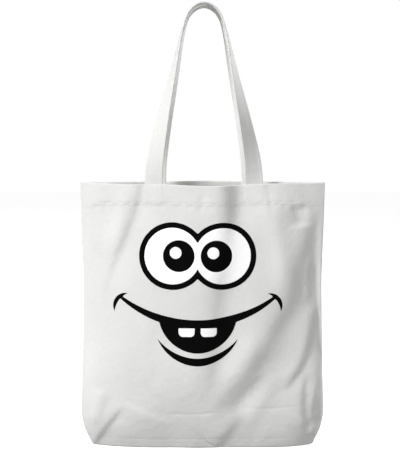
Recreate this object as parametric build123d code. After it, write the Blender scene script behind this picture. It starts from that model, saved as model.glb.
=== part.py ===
"""Canvas shoulder tote with a printed face, standing on its boxed base with its straps held up.

The frame is +Z up, with its origin at the centre of the base's underside. X runs across the bag,
and -Y is the printed front. All sizes are in millimetres.

The body is cut as a front panel, a back panel and a base panel. The side seams are turned in, and
so is the seam round the base. The rim of each panel is turned in as a hem, each strap's ends are
sewn inside it with a boxed cross, and the print is two inks, black and white.
"""

import math
import os
from collections import namedtuple

from build123d import *

# ---- cloth and clearances ------------------------------------------------------------------
CLOTH = 0.8  # canvas, one layer
TOUCH = 0.15  # between two layers that are sewn together
JOINT_GAP = 0.3  # between pieces that turn against each other
ROOT_GAP = 0.6  # between a strap's loop and its sewn ends
INK = 0.15  # thickness of the printed film
INK_LIFT = 0.05  # the film's clearance from the cloth's surface
INK_EDGE = 0.1  # bare line between the black ink and the white
THREAD_LIFT = 0.2  # the thread's clearance from the cloth's surface
THREAD = 0.5  # thickness of sewing thread
THREAD_WIDTH = 1.1

# ---- body ----------------------------------------------------------------------------------
BAG_HEIGHT = 404.0
BASE_WIDTH = 344.0
BASE_DEPTH = 80.0
HEEL_HEIGHT = 45.0  # where the rounded corners of the base end
HIP_WIDTH = 378.0
HIP_DEPTH = 92.0
WAIST_WIDTH = 369.0
WAIST_DEPTH = 80.0
RIM_WIDTH = 377.0
RIM_DEPTH = 50.0
HEM_DEPTH = 33.0
HEM_LAYERS = 2
HEM_SHORT = 6.0  # the hem stops this far before the side seams
HEM_STITCH_INSET = 2.5  # from the hem's lower edge
SEAM_ALLOWANCE = 10.0
BASE_ALLOWANCE = 17.0
BASE_STITCH_HEIGHT = 14.0
OVERLOCK_WIDTH = 5.0

# ---- straps --------------------------------------------------------------------------------
STRAP_WIDTH = 28.0
STRAP_THICKNESS = 2.4
FRONT_SPACING = 154.0  # between the middles of a strap's two ends
BACK_SPACING = 146.0
STRAP_X = 2.0  # the front strap's middle, a little right of the bag's
FRONT_RISE = 274.0  # of the crown above the rim, at the strap's middle
BACK_RISE = 272.0
CROWN_GAP = 2.0  # between the two straps where they lie side by side at the crown
STRAP_SEWN = 28.0  # length of strap inside the hem
BOX_INSET = 2.0  # from the strap's edges to the boxed cross

# ---- print ---------------------------------------------------------------------------------
PRINT_X = -7.5  # the print's middle, a little left of the bag's
EYE_Z = 296.5
EYE_RADIUS = 51.0
EYE_OUTLINE = 8.2
EYE_SPACING = 76.5
PUPIL_RADIUS = 23.9
PUPIL_INSET = 9.6  # towards the middle, from the eye's centre
GLINT_RADIUS = 9.0
GLINT_OFFSET = 4.8  # left of the pupil's centre, and above it
SMILE_HALF = 117.0
SMILE_Z = 235.5  # the ends of the smile's upper edge
SMILE_SAG = 35.6
LIP_END = 5.5  # thickness of the smile at its ends
LIP_MIDDLE = 13.4
MOUTH_HALF = 59.0
MOUTH_Z = 195.5
MOUTH_DEPTH = 45.5
CHEEK_LENGTH = 34.0
CHEEK_THICKNESS = 6.2
CHEEK_BEND = 4.5
CHEEK_TURN = 53.8  # degrees that a cheek mark leans from level, with its top end inward
TOOTH_WIDTH = 24.5
TOOTH_HEIGHT = 13.0
TOOTH_GAP = 9.0
TOOTH_Z = 187.6  # the upper edges of the teeth
CHIN_HALF = 61.0
CHIN_Z = 171.0
CHIN_SAG = 28.8
CHIN_THICKNESS = 11.4

# ---- derived -------------------------------------------------------------------------------
FRONT, BACK = -1, 1
SEAM_HALF = 2 * CLOTH + JOINT_GAP  # a panel and one allowance, out from the side seam's plane
FOOT = CLOTH + JOINT_GAP  # the walls start just above the base panel
HEM_IN = CLOTH + TOUCH  # how far inside the panel's face the hem starts
HEM_OUT = HEM_IN + HEM_LAYERS * CLOTH
STRAP_IN = HEM_OUT + TOUCH
STRAP_OUT = STRAP_IN + STRAP_THICKNESS
HEM_Z = BAG_HEIGHT - HEM_DEPTH
PLAN_POINTS = 33
STATION_STEP = 27.5
STRAP_STATIONS = 33

Station = namedtuple("Station", "z width depth square pointed")


# ---- walls ---------------------------------------------------------------------------------
def station_at(z):
    """The bag's plan at height z, between named levels. square below 1 is a boxier plan, and
    pointed above 1 brings front and back together at the side seams."""
    above_heel = BAG_HEIGHT - HEEL_HEIGHT
    levels = [
        Station(FOOT, BASE_WIDTH, BASE_DEPTH, 0.42, 0.42),
        Station(0.5 * HEEL_HEIGHT, 0.3 * BASE_WIDTH + 0.7 * HIP_WIDTH, BASE_DEPTH + 8, 0.5, 0.55),
        Station(HEEL_HEIGHT, HIP_WIDTH, HIP_DEPTH, 0.6, 0.7),
        Station(HEEL_HEIGHT + 0.3 * above_heel, WAIST_WIDTH + 3, HIP_DEPTH - 3, 0.8, 1.1),
        Station(HEEL_HEIGHT + 0.6 * above_heel, WAIST_WIDTH, WAIST_DEPTH, 0.95, 1.5),
        Station(BAG_HEIGHT, RIM_WIDTH, RIM_DEPTH, 1.0, 2.0),
    ]
    low, high = next(pair for pair in zip(levels, levels[1:]) if z <= pair[1].z + 1e-6)
    share = (z - low.z) / (high.z - low.z)
    return Station(z, *(a + share * (b - a) for a, b in zip(low[1:], high[1:])))


def stations(bottom, top):
    """Plans at even heights, no more than STATION_STEP apart."""
    count = max(1, math.ceil((top - bottom) / STATION_STEP))
    return [station_at(bottom + (top - bottom) * n / count) for n in range(count + 1)]


def plan(station, side, offset, short):
    """Points along one wall from left to right, offset mm outside its face, stopping short of
    both side seams."""
    half_width, half_depth = station.width / 2, station.depth / 2 - SEAM_HALF
    steps = 1200
    dense, run = [], [0.0]
    for i in range(steps + 1):
        turn = math.pi * (i / steps - 0.5)
        s, c = math.sin(turn), abs(math.cos(turn))
        x = half_width * math.copysign(abs(s) ** station.square, s)
        dense.append((x, SEAM_HALF + half_depth * c**station.pointed))
    for (x0, y0), (x1, y1) in zip(dense, dense[1:]):
        run.append(run[-1] + math.hypot(x1 - x0, y1 - y0))
    points, k = [], 0
    for n in range(PLAN_POINTS):
        target = short + (run[-1] - 2 * short) * n / (PLAN_POINTS - 1)
        while k < steps - 1 and run[k + 1] < target:
            k += 1
        share = (target - run[k]) / (run[k + 1] - run[k])
        (x0, y0), (x1, y1) = dense[k], dense[k + 1]
        length = math.hypot(x1 - x0, y1 - y0)
        x = x0 + share * (x1 - x0) - offset * (y1 - y0) / length
        y = y0 + share * (y1 - y0) + offset * (x1 - x0) / length
        points.append((x, side * y))
    return points


def layer(side, inner, outer, bottom=FOOT, top=BAG_HEIGHT, short=0.0):
    """One wall between two offsets from its outer face, as a thin lofted solid."""
    knots = [n / (PLAN_POINTS - 1) for n in range(PLAN_POINTS)]
    wires = []
    for station in stations(bottom, top):
        out_points = [Vector(x, y, station.z) for x, y in plan(station, side, outer, short)]
        in_points = [Vector(x, y, station.z) for x, y in plan(station, side, inner, short)]
        in_points.reverse()
        wires.append(
            Wire(
                [
                    Edge.make_spline(out_points, parameters=knots),
                    Edge.make_line(out_points[-1], in_points[0]),
                    Edge.make_spline(in_points, parameters=knots),
                    Edge.make_line(in_points[-1], out_points[0]),
                ]
            )
        )
    return Solid.make_loft(wires)


def base_panel():
    """The flat cloth under the bag, to the outline of both walls."""
    station = station_at(FOOT)
    knots = [n / (PLAN_POINTS - 1) for n in range(PLAN_POINTS)]
    edges, ends = [], []
    for side in (FRONT, BACK):
        points = [Vector(x, y, 0) for x, y in plan(station, side, 0, 0)]
        edges.append(Edge.make_spline(points, parameters=knots))
        ends.append((points[0], points[-1]))
    (front_left, front_right), (back_left, back_right) = ends
    edges.append(Edge.make_line(front_left, back_left))
    edges.append(Edge.make_line(front_right, back_right))
    return extrude(make_face(edges), CLOTH)


def side_seam(side):
    """Both allowances of one side seam, turned into the bag."""
    wires = []
    for station in stations(FOOT, HEM_Z - 1.5 * JOINT_GAP):
        outer = station.width / 2 - TOUCH
        inner = outer - SEAM_ALLOWANCE
        corners = [(inner, -CLOTH), (outer, -CLOTH), (outer, CLOTH), (inner, CLOTH)]
        wires.append(Wire.make_polygon([Vector(side * x, y, station.z) for x, y in corners]))
    return Solid.make_loft(wires)


def overlock(side):
    """Thread bound over the raw edge of one side seam."""
    wires = []
    close, far = CLOTH + TOUCH, CLOTH + TOUCH + THREAD
    for station in stations(FOOT, HEM_Z - 1.5 * JOINT_GAP):
        edge = station.width / 2 - TOUCH - SEAM_ALLOWANCE
        lip, back, wrap = edge + OVERLOCK_WIDTH, edge - TOUCH, edge - TOUCH - THREAD
        corners = [
            (lip, -far), (lip, -close), (back, -close), (back, close),
            (lip, close), (lip, far), (wrap, far), (wrap, -far),
        ]  # fmt: skip
        wires.append(Wire.make_polygon([Vector(side * x, y, station.z) for x, y in corners]))
    return Solid.make_loft(wires)


# ---- straps --------------------------------------------------------------------------------
def rim_point(x, side, offset):
    """A point on the rim, offset mm outside the wall's face, and the way the wall faces there."""
    half_depth, half_width = RIM_DEPTH / 2 - SEAM_HALF, RIM_WIDTH / 2
    y = side * (SEAM_HALF + half_depth * (1 - (x / half_width) ** 2))
    facing = Vector(2 * half_depth * x / half_width**2, side, 0).normalized()
    return Vector(x, y, BAG_HEIGHT) + facing * offset, facing


def strap_middle(side):
    """The line along the middle of one strap's loop, from its left end over to its right end."""
    spacing, rise = (FRONT_SPACING, FRONT_RISE) if side == FRONT else (BACK_SPACING, BACK_RISE)
    across = [1.0, 0.985, 0.9, 0.735, 0.56, 0.41, 0.25]
    up = [0.0, 0.08, 0.24, 0.464, 0.687, 0.875, 0.967]
    crown_y = side * (CROWN_GAP / 2 + STRAP_WIDTH / 2)
    points = []
    for way in (-1, 1):
        root, _ = rim_point(STRAP_X + way * spacing / 2, side, -(STRAP_IN + STRAP_OUT) / 2)
        leg = []
        for a, u in zip(across, up):
            y = root.Y + (crown_y - root.Y) * u
            leg.append(Vector(STRAP_X + way * a * spacing / 2, y, BAG_HEIGHT + ROOT_GAP + u * rise))
        points.append(leg)
    crown = Vector(STRAP_X, crown_y, BAG_HEIGHT + ROOT_GAP + rise)
    return Spline(*points[0], crown, *reversed(points[1])), rise


def strap_loop(side):
    """A flat band that faces out of the wall at its ends and turns to face up at the crown."""
    middle, rise = strap_middle(side)
    half, edge = STRAP_THICKNESS / 2, STRAP_WIDTH / 2
    corners = [(-half, -edge), (half, -edge), (half, edge), (-half, edge)]
    wires = []
    for n in range(STRAP_STATIONS):
        u = n / (STRAP_STATIONS - 1)
        at, along = middle @ u, (middle % u).normalized()
        _, facing = rim_point(at.X, side, 0)
        up_share = min(1.0, (at.Z - BAG_HEIGHT) / rise)
        turn = math.radians(90) * (1 - (1 - up_share) ** 1.55)
        arch = along.cross(Vector(0, 1, 0))
        face = (facing * math.cos(turn) + arch * math.sin(turn)).normalized()
        across = along.cross(face).normalized()
        face = across.cross(along)
        wires.append(Wire.make_polygon([at + face * f + across * w for f, w in corners]))
    return Solid.make_loft(wires)


# ---- shapes laid on a wall -------------------------------------------------------------------
def strip(skin, bottom, top):
    """The part of a wall's layer between two heights."""
    slab = Pos(0, 0, (bottom + top) / 2) * Box(2 * HIP_WIDTH, 2 * HIP_DEPTH, top - bottom)
    return Compound((skin & slab).solids())


def laid_on(skin, shape):
    """A flat shape in X and Z, cut out of a thin skin of the wall."""
    depth = HIP_DEPTH
    prism = extrude(Plane.XZ * shape, amount=depth, both=True)
    cut = skin & prism
    return Compound([piece for piece in cut.solids() if piece.volume > 0.01])


def boxed_cross(x, bottom):
    width, height = STRAP_WIDTH - 2 * BOX_INSET, STRAP_SEWN - 2 * BOX_INSET
    inner = Rectangle(width - 2 * THREAD_WIDTH, height - 2 * THREAD_WIDTH)
    slant = math.degrees(math.atan2(height, width))
    long_row = Rectangle(math.hypot(width, height), THREAD_WIDTH)
    cross = (Rot(0, 0, slant) * long_row + Rot(0, 0, -slant) * long_row) & Rectangle(width, height)
    ring = Rectangle(width, height) - inner
    return Pos(x, bottom + BOX_INSET + height / 2) * (ring + cross)


def bow(half, z, sag):
    """The lower arc of a circle between two points at height z."""
    return ThreePointArc((-half, z), (0, z - sag), (half, z))


def crescent(half, z, sag, end, middle):
    """The band under a bow, end mm thick at its ends and middle mm thick at its middle."""
    upper = bow(half, z, sag)
    lower = bow(half, z - end, sag + middle - end)
    outline = [upper, lower]
    if end:
        outline += [Line((-half, z), (-half, z - end)), Line((half, z), (half, z - end))]
    return make_face(outline)


def eye_centres():
    return [(-EYE_SPACING / 2, EYE_Z), (EYE_SPACING / 2, EYE_Z)]


def eye_outline():
    outer = [Pos(x, z) * Circle(EYE_RADIUS) for x, z in eye_centres()]
    inner = [Pos(x, z) * Circle(EYE_RADIUS - EYE_OUTLINE) for x, z in eye_centres()]
    return outer[0] + outer[1] - inner[0] - inner[1]


def pupil_x(way):
    return way * (EYE_SPACING / 2 - PUPIL_INSET)


def glint(way, grow=0.0):
    at = Pos(pupil_x(way) - GLINT_OFFSET, EYE_Z + GLINT_OFFSET)
    return at * Circle(GLINT_RADIUS + grow)


def pupil(way):
    return Pos(pupil_x(way), EYE_Z) * Circle(PUPIL_RADIUS) - glint(way, INK_EDGE)


def eye_whites():
    inner = EYE_RADIUS - EYE_OUTLINE - INK_EDGE
    left, right = [Pos(x, z) * Circle(inner) for x, z in eye_centres()]
    pupils = [Pos(pupil_x(way), EYE_Z) * Circle(PUPIL_RADIUS + INK_EDGE) for way in (-1, 1)]
    return left + right - pupils[0] - pupils[1]


def tooth(way, grow=0.0):
    width, height = TOOTH_WIDTH + 2 * grow, TOOTH_HEIGHT + 2 * grow
    rounded = RectangleRounded(width, height, height * 0.45)
    square_top = Pos(0, height / 4) * Rectangle(width, height / 2)
    x = way * (TOOTH_GAP + TOOTH_WIDTH) / 2
    return Pos(x, TOOTH_Z - TOOTH_HEIGHT / 2) * (rounded + square_top)


def smile():
    """The smile's band, its cheek marks and the open mouth under it, with holes for the teeth."""
    lip = crescent(SMILE_HALF, SMILE_Z, SMILE_SAG, LIP_END, LIP_MIDDLE)
    chord_z = MOUTH_Z + LIP_MIDDLE / 3
    chord = Line((-MOUTH_HALF, chord_z), (MOUTH_HALF, chord_z))
    mouth = make_face([bow(MOUTH_HALF, chord_z, MOUTH_DEPTH + LIP_MIDDLE / 3), chord])
    level = Line((-SMILE_HALF, SMILE_Z), (SMILE_HALF, SMILE_Z))
    above = make_face([bow(SMILE_HALF, SMILE_Z, SMILE_SAG), level])
    drawn = lip + (mouth - above) + cheek(-1) + cheek(1)
    return drawn - tooth(-1, INK_EDGE) - tooth(1, INK_EDGE)


def cheek(way):
    """The mark that closes one end of the smile, bowed out and up."""
    tick = crescent(CHEEK_LENGTH / 2, 0, CHEEK_BEND, 0, CHEEK_THICKNESS)
    at = Pos(way * SMILE_HALF, SMILE_Z - LIP_END - CHEEK_BEND)
    return at * Rot(0, 0, -way * (180 + CHEEK_TURN)) * tick


def chin():
    return crescent(CHIN_HALF, CHIN_Z, CHIN_SAG, 0, CHIN_THICKNESS)


# ---- the nodes -------------------------------------------------------------------------------
def nodes():
    made = {"base_panel": base_panel()}
    made["left_side_seam"] = side_seam(-1)
    made["right_side_seam"] = side_seam(1)
    made["left_overlock"] = overlock(-1)
    made["right_overlock"] = overlock(1)
    for side, name, spacing in ((FRONT, "front", FRONT_SPACING), (BACK, "back", BACK_SPACING)):
        made[f"{name}_panel"] = layer(side, -CLOTH, 0)
        turned_in = layer(side, -HEM_OUT, -HEM_IN, short=HEM_SHORT)
        allowance = layer(side, -4 * CLOTH, -2 * CLOTH, short=HEM_SHORT)
        webbing = layer(side, -STRAP_OUT, -STRAP_IN, short=HEM_SHORT)
        thread = layer(side, THREAD_LIFT, THREAD_LIFT + THREAD, short=HEM_SHORT)
        made[f"{name}_hem"] = strip(turned_in, HEM_Z, BAG_HEIGHT)
        made[f"{name}_base_allowance"] = strip(allowance, FOOT, BASE_ALLOWANCE)
        row = HEM_Z + HEM_STITCH_INSET
        made[f"{name}_hem_stitching"] = strip(thread, row, row + THREAD_WIDTH)
        row = BASE_STITCH_HEIGHT
        made[f"{name}_base_stitching"] = strip(thread, row, row + THREAD_WIDTH)
        sewn_bottom = BAG_HEIGHT - STRAP_SEWN
        for way, hand in ((-1, "left"), (1, "right")):
            x = STRAP_X + way * spacing / 2
            end = Pos(x, BAG_HEIGHT - STRAP_SEWN / 2) * Rectangle(STRAP_WIDTH, STRAP_SEWN + 10)
            made[f"{name}_{hand}_strap_end"] = laid_on(webbing, end)
            cross = boxed_cross(x, sewn_bottom)
            made[f"{name}_{hand}_strap_stitching"] = laid_on(thread, cross)
        made[f"{name}_strap_loop"] = strap_loop(side)
    ink = layer(FRONT, INK_LIFT, INK_LIFT + INK)
    prints = {
        "eye_outline": eye_outline(),
        "eye_whites": eye_whites(),
        "left_pupil": pupil(-1),
        "right_pupil": pupil(1),
        "left_glint": glint(-1),
        "right_glint": glint(1),
        "smile": smile(),
        "left_tooth": tooth(-1),
        "right_tooth": tooth(1),
        "chin_line": chin(),
    }
    for name, shape in prints.items():
        made[name] = laid_on(ink, Pos(PRINT_X, 0) * shape)
    return made


os.makedirs("parts", exist_ok=True)
for node, shape in nodes().items():
    export_step(shape, f"parts/{node}.step")
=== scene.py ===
"""Canvas tote bag with a printed face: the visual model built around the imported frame.

Lengths are in millimetres until mesh_piece() turns them into metres.
"""

import math

import bpy
import numpy as np
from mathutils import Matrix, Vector


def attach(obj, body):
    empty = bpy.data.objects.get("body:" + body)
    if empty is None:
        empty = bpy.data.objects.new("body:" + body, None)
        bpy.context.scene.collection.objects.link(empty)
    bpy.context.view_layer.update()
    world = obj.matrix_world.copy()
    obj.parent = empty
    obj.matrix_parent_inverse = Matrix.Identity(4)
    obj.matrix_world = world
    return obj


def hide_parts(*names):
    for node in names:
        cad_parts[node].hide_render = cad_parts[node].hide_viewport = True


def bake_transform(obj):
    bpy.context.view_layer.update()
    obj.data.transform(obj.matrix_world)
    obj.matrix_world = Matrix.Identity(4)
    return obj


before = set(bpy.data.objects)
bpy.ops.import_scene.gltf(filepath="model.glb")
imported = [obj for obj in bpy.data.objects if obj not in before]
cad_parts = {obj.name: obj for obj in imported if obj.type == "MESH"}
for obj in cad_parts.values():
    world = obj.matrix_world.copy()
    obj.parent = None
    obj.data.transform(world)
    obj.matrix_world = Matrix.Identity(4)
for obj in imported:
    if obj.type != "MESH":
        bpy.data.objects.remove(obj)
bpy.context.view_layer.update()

# ---- sizes shared with the CAD model ---------------------------------------------------------
BAG_HEIGHT = 404.0
FOOT = 1.1
HEM_DEPTH = 33.0
CLOTH = 0.8
STRAP_WIDTH, STRAP_THICKNESS, STRAP_SEWN = 28.0, 2.4, 28.0
STRAP_X = 2.0
FRONT, BACK = -1, 1
SIDES = ((FRONT, "front"), (BACK, "back"))
SPACING = {FRONT: 154.0, BACK: 146.0}
RISE = {FRONT: 274.6, BACK: 272.6}
CROWN_Y = 15.0
STRAP_INSIDE = 3.9  # the strap's middle behind the wall's face
# height, width, depth, boxiness of the plan, sharpness at the side seams
LEVELS = np.array(
    [
        [1.1, 344.0, 80.0, 0.42, 0.42],
        [22.5, 367.8, 88.0, 0.50, 0.55],
        [45.0, 378.0, 92.0, 0.60, 0.70],
        [152.7, 372.0, 89.0, 0.80, 1.10],
        [260.4, 369.0, 80.0, 0.95, 1.50],
        [404.0, 377.0, 50.0, 1.00, 2.00],
    ]
)
SEAM_HALF = 0.5  # half the thickness where the two walls meet at a side seam
SEAM_CLEAR = 9.0  # depth past a side seam over which the folds come in
MIDDLE_GAP = 0.3  # points on a wall stop this far from the middle plane


# ---- the bag's surface -----------------------------------------------------------------------
def smooth_profiles():
    """The levels on a 1 mm ladder, rounded where they change slope."""
    z = np.arange(0.0, BAG_HEIGHT + 1.0)
    ladder = [np.interp(z, LEVELS[:, 0], LEVELS[:, k]) for k in range(1, 5)]
    reach = 14
    kernel = np.exp(-0.5 * (np.arange(-2 * reach, 2 * reach + 1) / (reach * 0.6)) ** 2)
    kernel /= kernel.sum()
    rounded = []
    for column in ladder:
        slope_low, slope_high = column[1] - column[0], column[-1] - column[-2]
        low = column[0] + slope_low * np.arange(-2 * reach, 0)
        high = column[-1] + slope_high * np.arange(1, 2 * reach + 1)
        rounded.append(np.convolve(np.concatenate([low, column, high]), kernel, "valid"))
    return z, rounded


PROFILE_Z, PROFILES = smooth_profiles()


def profile(z):
    return [np.interp(z, PROFILE_Z, p) for p in PROFILES]


def depth_at(x, z):
    """How far the wall's face is from the bag's middle plane, before its folds."""
    width, depth, square, pointed = profile(z)
    s = np.clip(np.abs(x) / (width / 2), 0, 1) ** (1 / square)
    c = np.sqrt(np.clip(1 - s * s, 0, 1))
    return SEAM_HALF + (depth / 2 - SEAM_HALF) * c**pointed


def row_curve(z, shares):
    """x, depth and outward direction along one row of a wall, at shares of its length."""
    width, depth, square, pointed = profile(z)
    turn = np.pi * (np.linspace(0, 1, 700) - 0.5)
    s, c = np.sin(turn), np.abs(np.cos(turn))
    x = width / 2 * np.sign(s) * np.abs(s) ** square
    y = SEAM_HALF + (depth / 2 - SEAM_HALF) * c**pointed
    run = np.concatenate([[0], np.cumsum(np.hypot(np.diff(x), np.diff(y)))])
    at = shares * run[-1]
    px, py = np.interp(at, run, x), np.interp(at, run, y)
    step = 1.5
    dx = np.interp(at + step, run, x) - np.interp(at - step, run, x)
    dy = np.interp(at + step, run, y) - np.interp(at - step, run, y)
    length = np.hypot(dx, dy)
    return px, py, -dy / length, dx / length, at - run[-1] / 2


def rounded(path):
    """The path with its corners cut twice."""
    for _ in range(2):
        cut = [path[0]]
        for a, b in zip(path, path[1:]):
            cut += [0.75 * a + 0.25 * b, 0.25 * a + 0.75 * b]
        path = [*cut, path[-1]]
    return path


def beside(x, z, path):
    """Signed distance to a path drawn downwards, positive on its right, and the share along it."""
    path = rounded([np.array(p, float) for p in path])
    shape = np.broadcast(x, z).shape
    best, signed = np.full(shape, 1e9), np.zeros(shape)
    for (x0, z0), (x1, z1) in zip(path, path[1:]):
        length = math.hypot(x1 - x0, z1 - z0)
        tx, tz = (x1 - x0) / length, (z1 - z0) / length
        t = np.clip((x - x0) * tx + (z - z0) * tz, 0, length)
        d = np.hypot(x - x0 - t * tx, z - z0 - t * tz)
        right = (z - z0) * tx - (x - x0) * tz
        nearer = d < best
        best = np.where(nearer, d, best)
        signed = np.where(nearer, np.where(right < 0, -d, d), signed)
    chord = path[-1] - path[0]
    along = ((x - path[0][0]) * chord[0] + (z - path[0][1]) * chord[1]) / (chord @ chord)
    return signed, along


def eased(share):
    """A share from 0 to 1, eased at both ends."""
    return share * share * (3 - 2 * share)


def faded(along, top, bottom):
    """1 along a fold, easing to 0 over a share of its length at each end."""
    in_top = np.clip(along / max(top, 1e-6), 0, 1)
    in_bottom = np.clip((1 - along) / max(bottom, 1e-6), 0, 1)
    return eased(in_top) * eased(in_bottom)


def stroke(x, z, path, width, height):
    """A ridge, or a groove where its height is negative."""
    signed, along = beside(x, z, path)
    return height * faded(along, STROKE_FADE, STROKE_FADE) * np.exp(-((signed / width) ** 2))


def drop(x, z, path, width, height, reach, top, bottom):
    """Cloth that rises to a crest, falls away to the right of a path, and levels out again."""
    signed, along = beside(x, z, path)
    fall = 1 / (1 + np.exp(-signed / (width * 0.4)))
    crest = (1 - fall) * np.exp(np.minimum(signed, 0) / reach)
    valley = fall * np.exp(-np.maximum(signed, 0) / reach)
    return height * faded(along, top, bottom) * (0.4 * crest - 0.6 * valley)


def waves(x, z, seed, count, shortest, longest, height):
    """Gentle unevenness: a sum of seeded plane waves, each as high as its length allows."""
    rng = np.random.default_rng(seed)
    total = np.zeros(np.shape(x))
    for _ in range(count):
        length = shortest * (longest / shortest) ** rng.random()
        angle = math.pi * (rng.random() - 0.5) * 2
        phase = rng.random() * 2 * math.pi
        k = 2 * math.pi / length
        across = x * math.cos(angle) + z * math.sin(angle)
        total += (length / longest) * np.sin(k * across + phase)
    return height * total / math.sqrt(count)


def creases(x, z, seed, size, height):
    """A crumpled surface: flat facets that meet in soft creases."""
    warp_x = x + waves(x, z, seed + 1, 8, size, 3 * size, size * 0.5)
    warp_z = z + waves(x, z, seed + 2, 8, size, 3 * size, size * 0.5)
    field = waves(warp_x, warp_z, seed + 3, 10, size * 1.2, 4 * size, 1.0)
    return height * (np.sqrt(field * field + 0.02) - 0.6)


# the front's two long folds: down beside the right strap, and from the right seam to the foot
STRAP_FOLD = [(42, 430), (44, 350), (36, 300), (26, 240), (20, 180), (18, 120), (6, 80), (-12, 40)]
SEAM_FOLD = [(190, 376), (164, 315), (152, 265), (138, 222), (112, 180)]
SEAM_FOLD += [(90, 138), (60, 100), (30, 74), (10, 30)]
# path from top to bottom, width, height, reach, share faded at the top and at the bottom
FRONT_DROPS = [
    ([(42, 440), (45, 380), (40, 310)], 18, 14, 40, 0, 0.5),
    (STRAP_FOLD, 24, 18, 46, 0, 0.25),
    (SEAM_FOLD, 20, 16, 80, 0.1, 0.15),
    ([(-92, 430), (-101, 370), (-112, 342), (-126, 308), (-142, 268), (-154, 215)], 9, 5.2, 24, 0, 0.4),
    ([(178, 222), (168, 170), (158, 132), (122, 84)], 9, 10, 18, 0.2, 0.2),
    ([(160, 118), (153, 70), (160, 20)], 8, 8, 14, 0.25, 0.2),
    ([(180, 106), (174, 64), (162, 28)], 7, 8, 14, 0.25, 0.2),
    ([(-116, 72), (-146, 36), (-168, 0)], 7, 6.5, 30, 0.35, 0),
    ([(72, 60), (46, 32), (22, 0)], 13, 9, 24, 0.35, 0),
    ([(100, 126), (62, 86), (32, 52)], 13, 7, 26, 0.3, 0.3),
    ([(-78, 210), (-80, 145), (-78, 85)], 14, 2, 30, 0.35, 0.35),
    ([(140, 196), (110, 130), (76, 64)], 22, 6, 50, 0.3, 0.3),
    ([(97, 410), (99, 378), (106, 340)], 5, 2, 12, 0.1, 0.5),
    ([(132, 388), (142, 352), (152, 325)], 6, 1.6, 12, 0.2, 0.5),
    ([(-128, 78), (-96, 63), (-72, 53), (-40, 40)], 5, 2, 16, 0.25, 0.3),
]
# path from top to bottom, width, height
FRONT_FOLDS = [
    ([(-114, 410), (-124, 345), (-146, 285)], 13, 2.2),
    ([(104, 410), (112, 345), (122, 290), (128, 225)], 16, 3.2),
    ([(166, 300), (160, 262), (162, 215)], 8, 2.6),
    ([(147, 374), (150, 335)], 15, -4.0),
    ([(90, 180), (56, 128), (24, 92)], 18, 3.4),
    ([(122, 126), (96, 84), (70, 48), (48, 6)], 13, 2.2),
    ([(-70, 58), (-20, 55), (34, 59)], 2, -0.5),
    ([(60, 64), (104, 62), (158, 67)], 2, -0.5),
    ([(-172, 28), (-162, 60), (-150, 100)], 10, 2.4),
    ([(2, 398), (-4, 356)], 6, -0.7),
    ([(174, 62), (168, 34), (174, 8)], 6, 2.6),
]
BACK_DROPS = [
    ([(96, 420), (108, 360), (130, 300), (152, 240)], 12, 4.0, 30, 0, 0.35),
    ([(-44, 420), (-40, 340), (-30, 260), (-34, 180), (-60, 100), (-96, 48)], 20, 7, 45, 0, 0.25),
    ([(20, 200), (-20, 130), (-70, 84), (-120, 30)], 16, 5, 40, 0.25, 0.2),
    ([(182, 300), (164, 230), (150, 150), (110, 92), (84, 40)], 16, 6, 40, 0.15, 0.2),
    ([(-120, 330), (-140, 260), (-150, 180)], 12, 3, 28, 0.2, 0.3),
    ([(-124, 62), (-146, 36), (-165, 8)], 6, 4.5, 26, 0.25, 0),
]
BACK_FOLDS = [
    ([(30, 400), (36, 320), (30, 230)], 16, 1.8),
    ([(-120, 200), (-70, 140), (-10, 96)], 12, 2.0),
    ([(40, 150), (60, 100), (110, 40)], 10, 2.0),
    ([(160, 76), (148, 42), (158, 14)], 6, -2.2),
    ([(-90, 66), (-20, 60), (60, 70)], 2.2, -0.9),
]
STROKE_FADE = 0.3  # share of a fold's length that eases in or out, at each end
BASE_ROW = 14.5  # height of the stitching round the foot
STITCH_PULL = 1.6  # reach of the groove along a row of stitches
HALF_WIDTH = 188.0  # about half the bag's width
BASE_HALF = 172.0  # half the base's width
BELLY, BELLY_TOP, BELLY_OUT = 90.0, 190.0, 5.0  # the wall swells out
FOOT_IN, CORNER_IN = 6.5, 7.0  # and turns under, most of all at its corners


def hem_line(x):
    """Height of the hem's stitched row, which dips towards the side seams."""
    return BAG_HEIGHT - HEM_DEPTH + 5 - 6 * (np.abs(x) / HALF_WIDTH) ** 6


def strap_under(side, x, z):
    """The sewn strap end, felt through the canvas that covers it."""
    total = 0.0
    for way in (-1, 1):
        off = np.abs(x - STRAP_X - way * SPACING[side] / 2) - STRAP_WIDTH / 2
        total += 1 / (1 + np.exp(off / 0.9))
    return total / (1 + np.exp((BAG_HEIGHT - STRAP_SEWN - z) / 0.6))


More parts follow.
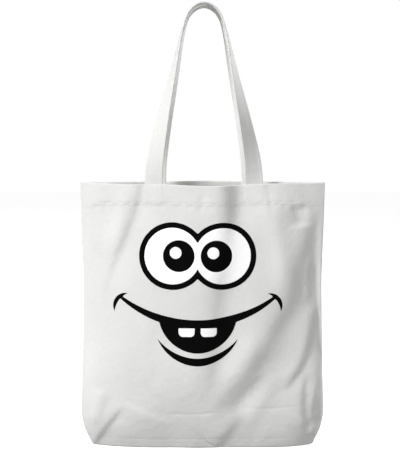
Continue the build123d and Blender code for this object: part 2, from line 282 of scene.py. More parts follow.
def relief(side, x, z):
    """How far the folds lift the wall's face."""
    total = np.zeros(np.shape(x))
    drops, folds = (FRONT_DROPS, FRONT_FOLDS) if side == FRONT else (BACK_DROPS, BACK_FOLDS)
    for path, width, height, reach, top, bottom in drops:
        total += drop(x, z, path, width, height, reach, top, bottom)
    for path, width, height in folds:
        total += stroke(x, z, path, width, height)
    seed = 11 if side == FRONT else 57
    low = np.clip((260 - z) / 260, 0, 1)
    total += waves(x, z, seed, 12, 45, 120, 1.0)
    total += creases(x, z, seed + 20, 34, 0.5) * (0.35 + 0.9 * low)
    total += waves(x, z, seed + 40, 16, 7, 16, 0.07)
    # the hem's step, the strap ends, and the cloth pulled in and puckered along the stitching
    below = hem_line(x) - z
    total += 1.2 / (1 + np.exp((below - 2.2) / 0.5))
    total += 0.4 * strap_under(side, x, z)
    puckers = 1 + 0.7 * np.sin(x / 3.1 + 2 * np.sin(x / 17.0))
    total -= 0.6 * puckers * np.exp(-((below / STITCH_PULL) ** 2))
    ripple = np.sin(x / 3.3 + 3 * np.sin(x / 23.0))
    total += 0.18 * ripple * np.exp(-(((below - 6) / 6) ** 2))
    total -= 0.35 * np.exp(-(((z - BASE_ROW) / STITCH_PULL) ** 2))
    belly = np.clip((BELLY_TOP - z) / (BELLY_TOP - BELLY), 0, 1)
    total += BELLY_OUT * eased(belly)
    corner = np.clip(np.abs(x) / BASE_HALF, 0, 1) ** 3
    total -= (BELLY_OUT + FOOT_IN + CORNER_IN * corner) * np.clip(1 - z / BELLY, 0, 1) ** 2
    return total


def rim_lift(side, x):
    """The rim isn't level: the front sags between its straps and the back stands higher."""
    share = x / HALF_WIDTH
    between = np.exp(-(((x - STRAP_X) / 46.0) ** 2))
    if side == FRONT:
        return -1.6 * between + 3.0 * share**2 - 0.5 * np.sin(x / 26.0)
    return 3.6 + 0.9 * between - 0.6 * share**2


def place(side, x, z, lift):
    """Final points on a wall at x and height, lifted straight out from its face."""
    x, z = np.asarray(x, float), np.asarray(z, float)
    return settle(side, x, depth_at(x, z), z, lift)


def settle(side, x, depth, z, lift, toward=(0.0, 1.0)):
    """Final points of a wall, folds and all. toward is the outward direction as x and depth."""
    clear = np.clip((depth - SEAM_HALF) / SEAM_CLEAR, 0, 1)
    folded = relief(side, x, z) * eased(clear)
    out_x, out_y = toward
    px = x + lift * out_x
    py = np.maximum(depth + folded + lift * out_y, MIDDLE_GAP)
    pz = z + rim_lift(side, x) * np.clip(z / BAG_HEIGHT, 0, 1) ** 6
    return np.stack([px, side * py, pz], -1)


# ---- mesh helpers ----------------------------------------------------------------------------
STITCH_WIDTH, STITCH_HEIGHT = 0.72, 0.52


def mesh_piece(name, points, faces, material, uv=None):
    """A smooth-shaded object from points in millimetres."""
    mesh = bpy.data.meshes.new(name)
    mesh.from_pydata((np.asarray(points) * 0.001).tolist(), [], faces)
    if uv is not None:
        layer = mesh.uv_layers.new(name="weave")
        index = np.zeros(len(mesh.loops), int)
        mesh.loops.foreach_get("vertex_index", index)
        layer.data.foreach_set("uv", np.asarray(uv, float)[index].ravel())
    mesh.polygons.foreach_set("use_smooth", [True] * len(mesh.polygons))
    mesh.materials.append(material)
    mesh.validate()
    piece = bpy.data.objects.new(name, mesh)
    bpy.context.scene.collection.objects.link(piece)
    return piece


def grid_faces(rows, columns, wrap=False, flip=False):
    """Quads between rows of points, closed round where they wrap."""
    faces = []
    for r in range(rows - 1):
        for c in range(columns if wrap else columns - 1):
            a, b = r * columns + c, r * columns + (c + 1) % columns
            quad = (a, b, b + columns, a + columns)
            faces.append(quad[::-1] if flip else quad)
    return faces


def thicken(piece, thickness):
    """Gives a sheet its thickness and applies it."""
    solid = piece.modifiers.new("thickness", "SOLIDIFY")
    solid.thickness = thickness * 0.001
    solid.offset = 0.0
    solid.use_even_offset = False
    bpy.context.view_layer.update()
    made = bpy.data.meshes.new_from_object(
        piece.evaluated_get(bpy.context.evaluated_depsgraph_get())
    )
    made.name = piece.name
    piece.modifiers.clear()
    piece.data = made
    return piece


def stitches(name, tracks, pitch=3.2, length=2.5):
    """Separate stitches along each track, a pair of point and outward-direction lists."""
    around, rings = 6, (-0.62, 0.0, 0.62)
    template = [(-1.0, 0, 0)]
    for t in rings:
        r = math.sqrt(1 - t * t)
        for k in range(around):
            a = 2 * math.pi * k / around
            template.append((t, r * math.cos(a), r * math.sin(a)))
    template.append((1.0, 0, 0))
    template = np.array(template) * (length / 2, STITCH_WIDTH / 2, STITCH_HEIGHT / 2)
    last = len(template) - 1
    pattern = [(0, 1 + (k + 1) % around, 1 + k) for k in range(around)]
    for ring in range(len(rings) - 1):
        for k in range(around):
            a, b = 1 + ring * around + k, 1 + ring * around + (k + 1) % around
            pattern.append((a, b, b + around, a + around))
    tail = 1 + (len(rings) - 1) * around
    pattern += [(last, tail + k, tail + (k + 1) % around) for k in range(around)]
    rng = np.random.default_rng(len(name) * 7)
    points, faces = [], []
    for path, normals in tracks:
        path, normals = np.asarray(path, float), np.asarray(normals, float)
        run = np.concatenate([[0], np.cumsum(np.linalg.norm(np.diff(path, axis=0), axis=1))])
        count = max(1, int(run[-1] / pitch))
        for k in range(count):
            s = (k + 0.5) * run[-1] / count
            ends = [[np.interp(q, run, path[:, i]) for i in range(3)] for q in (s - 1, s + 1)]
            centre = np.mean(ends, axis=0)
            along = np.subtract(ends[1], ends[0])
            along /= np.linalg.norm(along)
            up = np.array([np.interp(s, run, normals[:, i]) for i in range(3)])
            up -= along * (up @ along)
            up /= np.linalg.norm(up)
            across = np.cross(up, along)
            tilt = (rng.random() - 0.5) * 0.14
            along, across = (
                along * math.cos(tilt) + across * math.sin(tilt),
                across * math.cos(tilt) - along * math.sin(tilt),
            )
            start = len(points) * (last + 1)
            points.append(centre + template @ np.array([along, across, up]))
            faces += [tuple(start + i for i in face) for face in pattern]
    return mesh_piece(name, np.concatenate(points), faces, THREAD)


# ---- materials -------------------------------------------------------------------------------
WEAVE_PITCH = 0.75


class Nodes:
    """Short ways to add shader nodes to one material."""

    def __init__(self, name):
        self.material = bpy.data.materials.new(name)
        self.material.use_nodes = True
        self.tree = self.material.node_tree
        self.shader = self.tree.nodes["Principled BSDF"]

    def add(self, kind, **settings):
        node = self.tree.nodes.new(kind)
        for key, value in settings.items():
            setattr(node, key, value)
        return node

    def link(self, out, into):
        self.tree.links.new(out, into)

    def math(self, operation, a, b=0.0):
        node = self.add("ShaderNodeMath", operation=operation)
        for socket, value in zip(node.inputs, (a, b)):
            if isinstance(value, (int, float)):
                socket.default_value = value
            else:
                self.link(value, socket)
        return node.outputs[0]

    def noise(self, coordinates, scale, detail=3.0, roughness=0.5):
        node = self.add("ShaderNodeTexNoise")
        node.inputs["Scale"].default_value = scale
        node.inputs["Detail"].default_value = detail
        node.inputs["Roughness"].default_value = roughness
        self.link(coordinates, node.inputs["Vector"])
        return node.outputs["Fac"]

    def ramp(self, value, stops):
        node = self.add("ShaderNodeValToRGB")
        ramp = node.color_ramp
        while len(ramp.elements) < len(stops):
            ramp.elements.new(0.5)
        for element, (position, colour) in zip(ramp.elements, stops):
            element.position = position
            element.color = (*colour, 1.0)
        self.link(value, node.inputs["Fac"])
        return node.outputs["Color"]

    def bump(self, height, strength, distance, normal=None):
        node = self.add("ShaderNodeBump")
        node.inputs["Strength"].default_value = strength
        node.inputs["Distance"].default_value = distance
        self.link(height, node.inputs["Height"])
        if normal is not None:
            self.link(normal, node.inputs["Normal"])
        return node.outputs["Normal"]

    def scaled(self, vector, scale):
        node = self.add("ShaderNodeMapping")
        node.inputs["Scale"].default_value = scale
        self.link(vector, node.inputs["Vector"])
        return node.outputs["Vector"]


def grey(level):
    return (level, level, level)


def weave_height(n, uv):
    """Plain weave: threads pass over and under by turns. uv is in millimetres."""
    split = n.add("ShaderNodeSeparateXYZ")
    n.link(uv, split.inputs[0])
    k = math.pi / WEAVE_PITCH
    warp = n.math("SINE", n.math("MULTIPLY", split.outputs[0], k))
    weft = n.math("SINE", n.math("MULTIPLY", split.outputs[1], k))
    over = n.math("MULTIPLY", warp, weft)
    ribs = n.math("ADD", n.math("ABSOLUTE", warp), n.math("ABSOLUTE", weft))
    return n.math("ADD", n.math("MULTIPLY", over, 0.5), n.math("MULTIPLY", ribs, 0.35))


def canvas(name, dark, light, weave=0.55):
    """Plain-woven cotton: slubs, fuzz and a soft unevenness over the weave, whose hollows are painted a
    little darker as shade.
    """
    n = Nodes(name)
    uv = n.add("ShaderNodeTexCoord").outputs["UV"]
    weave_up = weave_height(n, uv)
    slub_x = n.noise(n.scaled(uv, (0.09, 1.1, 1.0)), 1.0, 2.0)
    slub_z = n.noise(n.scaled(uv, (1.1, 0.09, 1.0)), 1.0, 2.0)
    slubs = n.math("ADD", slub_x, slub_z)
    broad = n.noise(n.scaled(uv, (0.012, 0.012, 1.0)), 1.0, 4.0, 0.6)
    fuzz = n.noise(uv, 1.6, 2.0, 0.7)
    tone = n.math("ADD", n.math("MULTIPLY", slubs, 0.32), n.math("MULTIPLY", broad, 0.3))
    tone = n.math("ADD", tone, n.math("MULTIPLY", fuzz, 0.08))
    # painted shade: the weave's raised threads are a little lighter in colour and its hollows a little
    # darker
    tone = n.math("ADD", tone, n.math("MULTIPLY", weave_up, 0.08))
    middle = tuple((a + b) / 2 for a, b in zip(dark, light))
    colour = n.ramp(tone, [(0.3, dark), (0.52, middle), (0.75, light)])
    n.link(colour, n.shader.inputs["Base Color"])
    rough = n.math("ADD", n.math("MULTIPLY", broad, 0.12), 0.82)
    n.link(rough, n.shader.inputs["Roughness"])
    n.shader.inputs["Specular IOR Level"].default_value = 0.25
    n.shader.inputs["Sheen Weight"].default_value = 0.12
    n.shader.inputs["Sheen Roughness"].default_value = 0.5
    soft = n.noise(n.scaled(uv, (0.16, 0.16, 1.0)), 1.0, 4.0, 0.62)
    normal = n.bump(soft, 0.35, 0.0011)
    normal = n.bump(slubs, 0.5, 0.00022, normal)
    normal = n.bump(weave_up, weave, 0.00018, normal)
    n.link(normal, n.shader.inputs["Normal"])
    return n.material


def ink_material(name, low, high, worn_tone, specular):
    """Matt ink that lies on the weave, with the tops of a few threads worn through it."""
    n = Nodes(name)
    uv = n.add("ShaderNodeTexCoord").outputs["UV"]
    weave_up = weave_height(n, uv)
    speck = n.noise(uv, 1.3, 3.0, 0.7)
    worn = n.math("MULTIPLY", speck, n.math("ADD", weave_up, 0.6))
    colour = n.ramp(worn, [(0.0, low), (0.75, high), (1.0, worn_tone)])
    n.link(colour, n.shader.inputs["Base Color"])
    n.link(n.math("ADD", n.math("MULTIPLY", speck, 0.2), 0.65), n.shader.inputs["Roughness"])
    n.shader.inputs["Specular IOR Level"].default_value = specular
    normal = n.bump(speck, 0.3, 0.0002)
    n.link(n.bump(weave_up, 0.35, 0.00015, normal), n.shader.inputs["Normal"])
    return n.material


def thread_material():
    """Twisted cotton thread."""
    n = Nodes("cotton_thread")
    at = n.add("ShaderNodeTexCoord").outputs["Object"]
    twist = n.noise(n.scaled(at, (2600, 2600, 2600)), 1.0, 2.0)
    colour = n.ramp(twist, [(0.3, (0.74, 0.735, 0.71)), (0.7, (0.88, 0.875, 0.86))])
    n.link(colour, n.shader.inputs["Base Color"])
    n.shader.inputs["Roughness"].default_value = 0.7
    n.shader.inputs["Sheen Weight"].default_value = 0.15
    n.link(n.bump(twist, 0.4, 0.0001), n.shader.inputs["Normal"])
    return n.material


def floor_material():
    """A matt white floor that glows a little, so that it runs into the backdrop."""
    n = Nodes("pale_floor")
    at = n.add("ShaderNodeTexCoord").outputs["Object"]
    colour = n.ramp(n.noise(at, 3.0, 2.0), [(0.3, grey(0.90)), (0.7, grey(0.92))])
    n.link(colour, n.shader.inputs["Base Color"])
    n.shader.inputs["Roughness"].default_value = 0.8
    n.shader.inputs["Emission Color"].default_value = (1, 1, 1, 1)
    n.shader.inputs["Emission Strength"].default_value = 0.62
    return n.material


CANVAS = canvas("cotton_canvas", (0.635, 0.635, 0.62), (0.76, 0.76, 0.745))
STRAP_CANVAS = canvas("strap_canvas", (0.61, 0.61, 0.595), (0.73, 0.73, 0.715), weave=0.2)
INK = ink_material("black_print_ink", grey(0.002), grey(0.003), grey(0.012), 0.01)
WHITE_INK = ink_material("white_print_ink", grey(0.97), grey(1.0), (0.93, 0.93, 0.92), 0.2)
THREAD = thread_material()

# ---- walls -----------------------------------------------------------------------------------
COLUMNS = 250
SHARES = np.linspace(0, 1, COLUMNS)
HALF_CLOTH = CLOTH / 2
RIM_FOLD = 1.15  # radius of the cloth's turn at the rim
RIM_START = BAG_HEIGHT - 1.2  # where the turn starts
FACE_ROWS, HEM_ROWS = 268, 16
ALLOWANCE_THICKNESS = 1.3
BASE_THICKNESS, BASE_Z = 0.7, 0.75
BASE_INSET = 1.2  # from the walls' faces to the base's edges


def wall_rows():
    """Height and offset of each row: under the base, up the face, over the rim, down the hem."""
    rows = [(0.5, -9.0), (0.5, -5.0), (0.6, -2.4), (1.0, -1.0)]
    rows += [(z, -HALF_CLOTH) for z in np.linspace(2.0, RIM_START, FACE_ROWS)]
    for turn in (30, 65, 90, 115, 150, 180):
        a = math.radians(turn)
        inward = RIM_FOLD * (1 - math.cos(a))
        rows.append((RIM_START + RIM_FOLD * math.sin(a), -HALF_CLOTH - inward))
    inside = -HALF_CLOTH - 2 * RIM_FOLD
    hem_end = BAG_HEIGHT - HEM_DEPTH
    rows += [(z, inside) for z in np.linspace(BAG_HEIGHT - 3.5, hem_end, HEM_ROWS)]
    rows.append((hem_end - 0.4, inside + 0.5))
    return rows


def wall(side, name):
    """One wall and its hem, as a single cloth."""
    points, uv, height, before = [], [], 0.0, None
    for z, offset in wall_rows():
        x, depth, out_x, out_y, along = row_curve(z, SHARES)
        points.append(settle(side, x, depth, z, offset, (out_x, out_y)))
        if before is not None:
            height += math.hypot(z - before[0], offset - before[1])
        before = (z, offset)
        uv.append(np.stack([along, np.full(COLUMNS, height)], -1))
    grid = np.concatenate(points)
    faces = grid_faces(len(points), COLUMNS, flip=side == BACK)
    return thicken(mesh_piece(name, grid, faces, CANVAS, uv=np.concatenate(uv)), CLOTH)


front_wall = wall(FRONT, "front_wall_canvas")
back_wall = wall(BACK, "back_wall_canvas")


def base():
    """The bottom panel, whose long edges follow the feet of the walls."""
    columns, rows = 160, 48
    x, depth, _, _, _ = row_curve(FOOT, np.linspace(0, 1, columns))
    z = np.full(columns, FOOT)
    back, front = (settle(side, x, depth, z, -BASE_INSET)[:, 1] for side in (BACK, FRONT))
    points, uv = [], []
    for t in np.linspace(0, 1, rows):
        y = front + (back - front) * t
        z = BASE_Z + np.clip(waves(x, y, 5, 10, 30, 90, 0.25), -0.3, 0.4)
        points.append(np.stack([x, y, z], -1))
        uv.append(np.stack([x, y], -1))
    faces = grid_faces(rows, columns)
    piece = mesh_piece("base_canvas", np.concatenate(points), faces, CANVAS, uv=np.concatenate(uv))
    return thicken(piece, BASE_THICKNESS)


base_cloth = base()

# ---- seams inside ----------------------------------------------------------------------------
ALLOWANCE_WIDTH = 9.0
ALLOWANCE_INSIDE = 2.4  # from a wall's face in to the base seam's allowance
OVERLOCK_OUTER, OVERLOCK_INNER = 6.0, 10.4  # the zigzag's two edges, in from the side seam
OVERLOCK_LIFT = 0.85


def seam_sway(way, z):
    """How far a side seam's raw edge waves off the middle plane."""
    return 0.5 * math.sin(z / 19.0 + way)


def side_seam(way, name):
    """Both allowances of one side seam, turned into the bag, and slightly wavy."""
    points, uv = [], []
    rows, columns = 150, 9
    for z in np.linspace(2.5, BAG_HEIGHT - HEM_DEPTH - 1, rows):
        width = profile(z)[0]
        for share in np.linspace(0, 1, columns):
            inset = 1.2 + ALLOWANCE_WIDTH * share
            points.append((way * (width / 2 - inset), seam_sway(way, z) * share**2, z))
            uv.append((inset, z))
    piece = mesh_piece(name, points, grid_faces(rows, columns), CANVAS, uv=uv)
    return thicken(piece, ALLOWANCE_THICKNESS)


def overlock(way, name):
    """The zigzag of thread over the allowance's raw edge."""
    tracks = []
    for face in (-1, 1):
        path = []
        for k, z in enumerate(np.arange(4.0, BAG_HEIGHT - HEM_DEPTH - 2, 1.5)):
            inset = OVERLOCK_INNER if k % 2 else OVERLOCK_OUTER
            y = seam_sway(way, z) + face * OVERLOCK_LIFT
            path.append((way * (profile(z)[0] / 2 - inset), y, z))
        tracks.append((path, [(0, face, 0)] * len(path)))
    return stitches(name, tracks, pitch=2.3, length=2.9)


left_seam = side_seam(-1, "left_side_seam_cloth")
right_seam = side_seam(1, "right_side_seam_cloth")
left_overlock = overlock(-1, "left_overlock_thread")
right_overlock = overlock(1, "right_overlock_thread")


def base_allowance(side, name):
    """The seam allowance standing up inside the foot of one wall."""
    points, uv = [], []
    rows, columns = 8, 150
    shares = np.linspace(0.02, 0.98, columns)
    for z in np.linspace(1.8, 16.5, rows):
        x, depth, out_x, out_y, along = row_curve(z, shares)
        points.append(settle(side, x, depth, z, -ALLOWANCE_INSIDE, (out_x, out_y)))
        uv.append(np.stack([along, np.full(columns, z)], -1))
    faces = grid_faces(rows, columns, flip=side == BACK)
    piece = mesh_piece(name, np.concatenate(points), faces, CANVAS, uv=np.concatenate(uv))
    return thicken(piece, ALLOWANCE_THICKNESS)


front_allowance = base_allowance(FRONT, "front_base_allowance_cloth")
back_allowance = base_allowance(BACK, "back_base_allowance_cloth")

# ---- straps ----------------------------------------------------------------------------------
# one leg of a strap, from its root towards its crown: shares of the half spacing and of the rise
ACROSS = [1.0, 0.985, 0.9, 0.735, 0.56, 0.41, 0.25]
UP = [0.0, 0.08, 0.24, 0.464, 0.687, 0.875, 0.967]
EDGE_ROW = 0.72  # a row of stitches, as a share of the strap's half width
EDGE_SUNK = 0.16  # how far those stitches are sunk below the strap's face


def cubic_through(points, count):
    """A smooth curve through the points, with its parameter by chord length."""
    points = np.asarray(points, float)
    h = np.linalg.norm(np.diff(points, axis=0), axis=1)
    t = np.concatenate([[0], np.cumsum(h)])
    n = len(points)
    a, b = np.zeros((n, n)), np.zeros((n, 3))
    a[0, 0] = a[-1, -1] = 1
    for i in range(1, n - 1):
        a[i, i - 1 : i + 2] = h[i - 1], 2 * (h[i - 1] + h[i]), h[i]
        after, before = (points[i + 1] - points[i]) / h[i], (points[i] - points[i - 1]) / h[i - 1]
        b[i] = 6 * (after - before)
    m = np.linalg.solve(a, b)
    s = np.linspace(0, t[-1], count)
    k = np.clip(np.searchsorted(t, s, "right") - 1, 0, n - 2)
    f, hk = ((s - t[k]) / h[k])[:, None], h[k][:, None]
    g = 1 - f
    bend = hk**2 / 6 * ((g**3 - g) * m[k] + (f**3 - f) * m[k + 1])
    return g * points[k] + f * points[k + 1] + bend


def rim_facing(x, side):
    """Outward direction of the rim at x."""
    slope = (depth_at(x + 1, BAG_HEIGHT) - depth_at(x - 1, BAG_HEIGHT)) / 2
    facing = np.array([-slope, side, 0.0])
    return facing / np.linalg.norm(facing)


def strap_line(side, count):
    """Middle line of one strap's loop, from its left root over the crown to its right root."""
    half, rise = SPACING[side] / 2, RISE[side]
    legs = []
    for way in (-1, 1):
        x = STRAP_X + way * half
        root = place(side, x, BAG_HEIGHT, -STRAP_INSIDE)
        root[2] = BAG_HEIGHT
        leg = []
        for a, u in zip(ACROSS, UP):
            y = root[1] + (side * CROWN_Y - root[1]) * u
            leg.append((STRAP_X + way * a * half, y, BAG_HEIGHT + u * rise))
        legs.append(leg)
    crown = (STRAP_X, side * CROWN_Y, BAG_HEIGHT + rise)
    return cubic_through([*legs[0], crown, *reversed(legs[1])], count)


def strap_frames(side, count=220):
    """Middle, outward face and across direction at stations along one strap's loop."""
    line = strap_line(side, count)
    along = np.gradient(line, axis=0)
    along /= np.linalg.norm(along, axis=1)[:, None]
    frames = []
    for at, way in zip(line, along):
        up = np.clip((at[2] - BAG_HEIGHT) / RISE[side], 0, 1)
        turn = math.radians(90) * (1 - (1 - up) ** 1.55)
        arch = np.cross(way, (0, 1, 0))
        face = rim_facing(at[0], side) * math.cos(turn) + arch * math.sin(turn)
        across = np.cross(way, face)
        across /= np.linalg.norm(across)
        frames.append((at, np.cross(across, way), across))
    return frames


def strap_section():
    """Rounded edges and a slightly crowned face, with a groove under each row of stitches."""
    w, t = STRAP_WIDTH / 2, STRAP_THICKNESS / 2
    edge = t * 0.8
    outline = []
    for side in (1, -1):
        for turn in np.linspace(-90, 90, 7):
            a = math.radians(turn)
            outline.append((side * (w - edge + edge * math.cos(a)), side * t * math.sin(a)))
        for share in (0.86, EDGE_ROW, 0.35, 0, -0.35, -EDGE_ROW, -0.86):
            groove = 0.22 if abs(share) == EDGE_ROW else 0.0
            outline.append((side * w * share, side * (t * 1.04 - groove)))
    return outline


def strap(side, name):
    """One strap: the loop and both sewn ends, which lie inside the hem and follow its folds."""
    section = strap_section()
    rings, uv = [], []
    half = SPACING[side] / 2
    steps = [math.dist(a, b) for a, b in zip(section, section[1:])]
    girth = np.concatenate([[0], np.cumsum(steps)])
    sewn = np.linspace(BAG_HEIGHT - STRAP_SEWN, BAG_HEIGHT - 4, 8)
    run = 0.0

    def sewn_ring(x, z, sign):
        across = np.array([sign * w for w, _ in section])
        lift = np.array([t for _, t in section])
        return place(side, x + across, np.full(len(section), z), -STRAP_INSIDE + lift)

    frames = strap_frames(side)
    first_across = frames[0][2][0]
    for z in sewn:
        rings.append(sewn_ring(STRAP_X - half, z, math.copysign(1, first_across)))
        uv.append([(g, z - BAG_HEIGHT) for g in girth])
    before = frames[0][0]
    for at, face, across in frames:
        run += float(np.linalg.norm(at - before))
        before = at
        flutter = 0.5 * math.sin(run / 41.0 + side) * np.sin(math.pi * min(1, run / 600))
        ring = [
            at + across * w + face * (t + flutter * (w / (STRAP_WIDTH / 2)) ** 2)
            for w, t in section
        ]
        rings.append(np.array(ring))
        uv.append([(g, run) for g in girth])
    last_across = frames[-1][2][0]
    for z in sewn[::-1]:
        rings.append(sewn_ring(STRAP_X + half, z, math.copysign(1, last_across)))
        uv.append([(g, run + BAG_HEIGHT - z) for g in girth])
    columns = len(section)
    faces = grid_faces(len(rings), columns, wrap=True)
    end = (len(rings) - 1) * columns
    faces.append(tuple(range(columns))[::-1])
    faces.append(tuple(end + k for k in range(columns)))
    return mesh_piece(name, np.concatenate(rings), faces, STRAP_CANVAS, uv=np.concatenate(uv))


def strap_stitches(side, name):
    """Rows along both edges, on both faces of the strap."""
    frames = strap_frames(side, 160)
    lift = STRAP_THICKNESS / 2 - EDGE_SUNK
    tracks = []
    for edge in (-EDGE_ROW * STRAP_WIDTH / 2, EDGE_ROW * STRAP_WIDTH / 2):
        for way in (-1, 1):
            path = [at + across * edge + face * way * lift for at, face, across in frames]
            tracks.append((path, [face * way for _, face, _ in frames]))
    return stitches(name, tracks)


straps = {side: strap(side, f"{word}_strap_canvas") for side, word in SIDES}
strap_rows = {side: strap_stitches(side, f"{word}_strap_edge_thread") for side, word in SIDES}

# ---- stitching on the walls ------------------------------------------------------------------
THREAD_LIFT = 0.05
ROW_SHARES = np.linspace(0.012, 0.988, 300)


def wall_track(side, xs, zs):
    """A straight run of stitches on a wall, facing straight out."""
    path = place(side, xs, zs, THREAD_LIFT)
    return path, np.tile((0.0, side, 0.0), (len(path), 1))


def row_track(side, x, depth, z, out_x, out_y):
    """A row right across a wall, following its turned corners."""
    path = settle(side, x, depth, z, THREAD_LIFT, (out_x, out_y))
    return path, np.stack([out_x, side * out_y, np.zeros(len(x))], -1)


def base_row(side):
    x, depth, out_x, out_y, _ = row_curve(BASE_ROW, ROW_SHARES)
    return row_track(side, x, depth, np.full(len(x), BASE_ROW), out_x, out_y)


def hem_row(side):
    x, _, out_x, out_y, _ = row_curve(BAG_HEIGHT - HEM_DEPTH + 3, ROW_SHARES)
    z = hem_line(x)
    return row_track(side, x, depth_at(x, z), z, out_x, out_y)


def boxed_cross(side, x):
    """The box and its two diagonals that hold one strap end."""
    low, high = BAG_HEIGHT - STRAP_SEWN + 2, BAG_HEIGHT - 3
    half = STRAP_WIDTH / 2 - 2
    corners = [(x - half, low), (x + half, low), (x + half, high), (x - half, high)]
    ends = list(zip(corners, corners[1:] + corners[:1]))
    ends += [(corners[0], corners[2]), (corners[1], corners[3])]
    tracks = []
    for (x0, z0), (x1, z1) in ends:
        t = np.linspace(0, 1, 24)
        tracks.append(wall_track(side, x0 + t * (x1 - x0), z0 + t * (z1 - z0)))
    return tracks


sewing = {}
for side, word in SIDES:
    sewing[f"{word}_hem_stitching"] = (side, [hem_row(side)])
    sewing[f"{word}_base_stitching"] = (side, [base_row(side)])
    for way, hand in ((-1, "left"), (1, "right")):
        x = STRAP_X + way * SPACING[side] / 2
        sewing[f"{word}_{hand}_strap_stitching"] = (side, boxed_cross(side, x))
thread_pieces = {
    node: (side, stitches(f"{node}_thread", tracks))
    for node, (side, tracks) in sewing.items()
}

# ---- print -----------------------------------------------------------------------------------
PRINT_X = -7.5
EYE_Z, EYE_RADIUS, EYE_OUTLINE, EYE_SPACING = 296.5, 51.0, 8.2, 76.5
PUPIL_RADIUS, PUPIL_INSET, GLINT_RADIUS, GLINT_OFFSET = 23.9, 9.6, 9.0, 4.8
SMILE_HALF, SMILE_Z, SMILE_SAG, LIP_END, LIP_MIDDLE = 117.0, 235.5, 35.6, 5.5, 13.4
MOUTH_HALF, MOUTH_Z, MOUTH_DEPTH = 59.0, 195.5, 45.5
CHEEK_LENGTH, CHEEK_THICKNESS, CHEEK_BEND, CHEEK_TURN = 34.0, 6.2, 4.5, 53.8
TOOTH_WIDTH, TOOTH_HEIGHT, TOOTH_GAP, TOOTH_Z = 24.5, 13.0, 9.0, 187.6
CHIN_HALF, CHIN_Z, CHIN_SAG, CHIN_THICKNESS = 61.0, 171.0, 28.8, 11.4
FILM, FILM_LIFT = 0.14, 0.16  # the ink's thickness, and its middle's distance from the cloth
CELL = 1.1  # spacing of the grid that a shape is cut from


def disc(x, z, cx, cz, radius):
    """Signed distance to a disc, negative inside."""
    return np.hypot(x - cx, z - cz) - radius


def bow_disc(x, z, half, height, sag):
    """The disc whose lower arc hangs sag below two points at a height."""
    radius = (half * half + sag * sag) / (2 * sag)
    return disc(x, z, 0, height - sag + radius, radius)


def crescent(x, z, half, height, sag, end, middle):
    """A sagging bow, end thick at its two ends and middle thick at its middle."""
    upper = bow_disc(x, z, half, height, sag)
    lower = bow_disc(x, z, half, height - end, sag + middle - end)
    return np.maximum(np.maximum(lower, -upper), np.abs(x) - half)


def both_eyes(x, z, radius):
    """One round shape on each eye's centre."""
    left, right = (disc(x, z, way * EYE_SPACING / 2, EYE_Z, radius) for way in (-1, 1))
    return np.minimum(left, right)


def eye_outline(x, z):
    return np.maximum(both_eyes(x, z, EYE_RADIUS), -both_eyes(x, z, EYE_RADIUS - EYE_OUTLINE))


def pupil_x(way):
    return way * (EYE_SPACING / 2 - PUPIL_INSET)


def glint(way):
    def shape(x, z):
        return disc(x, z, pupil_x(way) - GLINT_OFFSET, EYE_Z + GLINT_OFFSET, GLINT_RADIUS)

    return shape


def pupil(way):
    def shape(x, z):
        return np.maximum(disc(x, z, pupil_x(way), EYE_Z, PUPIL_RADIUS), -glint(way)(x, z))

    return shape


def eye_whites(x, z):
    whites = both_eyes(x, z, EYE_RADIUS - EYE_OUTLINE)
    for way in (-1, 1):
        whites = np.maximum(whites, -disc(x, z, pupil_x(way), EYE_Z, PUPIL_RADIUS))
    return whites


def tooth(x, z, way):
    """A tooth with a straight top and a rounded bottom."""
    cx, cz = way * (TOOTH_GAP + TOOTH_WIDTH) / 2, TOOTH_Z - TOOTH_HEIGHT / 2
    round_by = np.where(z < cz, TOOTH_HEIGHT * 0.49, 0.6)
    qx = np.abs(x - cx) - TOOTH_WIDTH / 2 + round_by
    qz = np.abs(z - cz) - TOOTH_HEIGHT / 2 + round_by
    outside = np.hypot(np.maximum(qx, 0), np.maximum(qz, 0))
    return outside + np.minimum(np.maximum(qx, qz), 0) - round_by


def smile(x, z):
    """The lip, the open mouth below it and the cheek marks, with the teeth left out."""
    lip = crescent(x, z, SMILE_HALF, SMILE_Z, SMILE_SAG, LIP_END, LIP_MIDDLE)
    chord = MOUTH_Z + LIP_MIDDLE / 3
    mouth = bow_disc(x, z, MOUTH_HALF, chord, MOUTH_DEPTH + LIP_MIDDLE / 3)
    above = bow_disc(x, z, SMILE_HALF, SMILE_Z, SMILE_SAG)
    mouth = np.maximum(np.maximum(mouth, z - chord), -above)
    drawn = np.minimum(np.minimum(lip, mouth), np.minimum(cheek(x, z, -1), cheek(x, z, 1)))
    return np.maximum(drawn, -np.minimum(tooth(x, z, -1), tooth(x, z, 1)))


def cheek(x, z, way):
    """The mark that closes one end of the smile, bowed out and up."""
    turn = math.radians(-way * (180 + CHEEK_TURN))
    dx, dz = x - way * SMILE_HALF, z - (SMILE_Z - LIP_END - CHEEK_BEND)
    lx = dx * math.cos(turn) + dz * math.sin(turn)
    lz = dz * math.cos(turn) - dx * math.sin(turn)
    return crescent(lx, lz, CHEEK_LENGTH / 2, 0, CHEEK_BEND, 0, CHEEK_THICKNESS)


def chin(x, z):
    return crescent(x, z, CHIN_HALF, CHIN_Z, CHIN_SAG, 0, CHIN_THICKNESS)


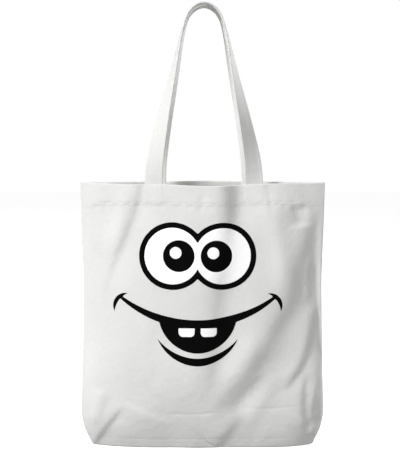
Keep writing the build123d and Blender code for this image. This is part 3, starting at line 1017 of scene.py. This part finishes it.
def ink(name, shape, low, high, material):
    """A printed shape as a thin film on the front wall, its edge drawn by the shape itself."""
    xs = np.arange(low[0] - CELL, high[0] + 2 * CELL, CELL)
    zs = np.arange(low[1] - CELL, high[1] + 2 * CELL, CELL)
    x, z = np.meshgrid(xs, zs)
    d = shape(x, z)
    columns = len(xs)
    inside = (d < 0).ravel()
    quads = np.array(grid_faces(len(zs), columns))
    kept = quads[inside[quads].any(axis=1)]
    near = np.zeros(d.size, bool)
    near[np.unique(kept)] = True
    move = near & ((d > 0) | (np.abs(d) < CELL * 0.28)).ravel()
    px, pz = x.ravel().copy(), z.ravel().copy()
    for _ in range(6):
        h = 0.02
        at = shape(px, pz)
        gx = (shape(px + h, pz) - shape(px - h, pz)) / (2 * h)
        gz = (shape(px, pz + h) - shape(px, pz - h)) / (2 * h)
        size = np.maximum(gx * gx + gz * gz, 0.2)
        px = np.where(move, px - at * gx / size, px)
        pz = np.where(move, pz - at * gz / size, pz)
    used = np.unique(kept)
    index = np.full(d.size, -1)
    index[used] = np.arange(len(used))
    faces = []
    for quad in kept:
        corners = [(px[i], pz[i]) for i in quad]
        twice_area = 0.0
        for (x0, z0), (x1, z1) in zip(corners, corners[1:] + corners[:1]):
            twice_area += x0 * z1 - x1 * z0
        if twice_area > 0.02:
            faces.append(tuple(int(index[i]) for i in quad))
    points = place(FRONT, px[used] + PRINT_X, pz[used], FILM_LIFT)
    uv = np.stack([px[used] + PRINT_X, pz[used]], -1)
    return thicken(mesh_piece(name, points, faces, material, uv=uv), FILM)


def one_tooth(way):
    return lambda x, z: tooth(x, z, way)


# shape, low and high corners of the area that holds it, material
PRINTS = {
    "eye_outline": (eye_outline, (-90, 245), (90, 348), INK),
    "eye_whites": (eye_whites, (-82, 253), (82, 340), WHITE_INK),
    "left_pupil": (pupil(-1), (-54, 272), (-3, 321), INK),
    "right_pupil": (pupil(1), (3, 272), (54, 321), INK),
    "left_glint": (glint(-1), (-44, 291), (-22, 311), WHITE_INK),
    "right_glint": (glint(1), (14, 291), (34, 311), WHITE_INK),
    "smile": (smile, (-136, 148), (136, 250), INK),
    "left_tooth": (one_tooth(-1), (-30, 174), (-4, 188), WHITE_INK),
    "right_tooth": (one_tooth(1), (4, 174), (30, 188), WHITE_INK),
    "chin_line": (chin, (-62, 129), (62, 172), INK),
}
inks = {node: ink(f"{node}_ink", *drawn) for node, drawn in PRINTS.items()}


# ---- the back's pieces ride on the bag body; the front's pieces and the straps are baked in place ---
def with_front_wall(piece):
    """Bakes the piece's placement into its points, without attaching it to a body."""
    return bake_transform(piece)


for piece in (front_wall, base_cloth, front_allowance, *inks.values()):
    with_front_wall(piece)
for node, (side, piece) in thread_pieces.items():
    if side == FRONT:
        with_front_wall(piece)
    else:
        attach(piece, "bag")
for piece in (back_wall, back_allowance, left_seam, right_seam, left_overlock, right_overlock):
    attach(piece, "bag")
for side, root, child in ((FRONT, "front_wall", "front_strap"), (BACK, "bag", "back_strap")):
    for piece in (straps[side], strap_rows[side]):
        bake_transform(piece)

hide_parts("front_panel", "front_hem")
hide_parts("back_panel", "back_hem")
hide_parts("base_panel")
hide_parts("left_side_seam")
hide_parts("right_side_seam")
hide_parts("left_overlock")
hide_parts("right_overlock")
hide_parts("front_base_allowance")
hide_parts("back_base_allowance")
for side, word in SIDES:
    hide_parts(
        f"{word}_strap_loop", f"{word}_left_strap_end", f"{word}_right_strap_end"
    )
for node, (side, piece) in thread_pieces.items():
    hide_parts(node)
for node, piece in inks.items():
    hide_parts(node)

# ---- floor, light and camera -----------------------------------------------------------------
corners = [(-6000, -6000, 0), (6000, -6000, 0), (6000, 9000, 0), (-6000, 9000, 0)]
floor = mesh_piece("floor", corners, [(0, 1, 2, 3)], floor_material())
floor.location.z = -0.0002
floor.visible_diffuse = False  # it shows, and throws no light up at the bag


def area_light(name, location, size, power):
    """A square white light, aimed at the bag."""
    lamp = bpy.data.lights.new(name, "AREA")
    lamp.shape, lamp.size, lamp.energy = "SQUARE", size, power
    light = bpy.data.objects.new(name, lamp)
    light.location = location
    aim = Vector((0, 0, 0.3)) - Vector(location)
    light.rotation_euler = aim.to_track_quat("-Z", "Y").to_euler()
    bpy.context.scene.collection.objects.link(light)


area_light("key", (-2.05, -1.60, 1.75), 0.7, 86)
area_light("fill", (2.3, -1.9, 0.8), 2.0, 18)
area_light("back", (2.05, 1.70, 1.75), 0.9, 70)
world = bpy.data.worlds.new("studio")
world.use_nodes = True
backdrop = world.node_tree.nodes["Background"]
backdrop.inputs["Color"].default_value = (1, 1, 1, 1)
seen = world.node_tree.nodes.new("ShaderNodeMapRange")
seen.inputs["To Min"].default_value = 0.38  # what lights the bag
seen.inputs["To Max"].default_value = 1.0  # what shows behind it
ray = world.node_tree.nodes.new("ShaderNodeLightPath")
world.node_tree.links.new(ray.outputs["Is Camera Ray"], seen.inputs["Value"])
world.node_tree.links.new(seen.outputs["Result"], backdrop.inputs["Strength"])
bpy.context.scene.world = world
bpy.context.scene.view_settings.view_transform = "Standard"

camera_data = bpy.data.cameras.new("camera")
camera_data.lens = 92.6
camera_data.sensor_width = 36.0
camera = bpy.data.objects.new("camera", camera_data)
camera.location = (-0.0040, -1.8, 0.470)
camera.rotation_euler = (math.radians(90 - 4.19), 0, 0)
bpy.context.scene.collection.objects.link(camera)
bpy.context.scene.camera = camera
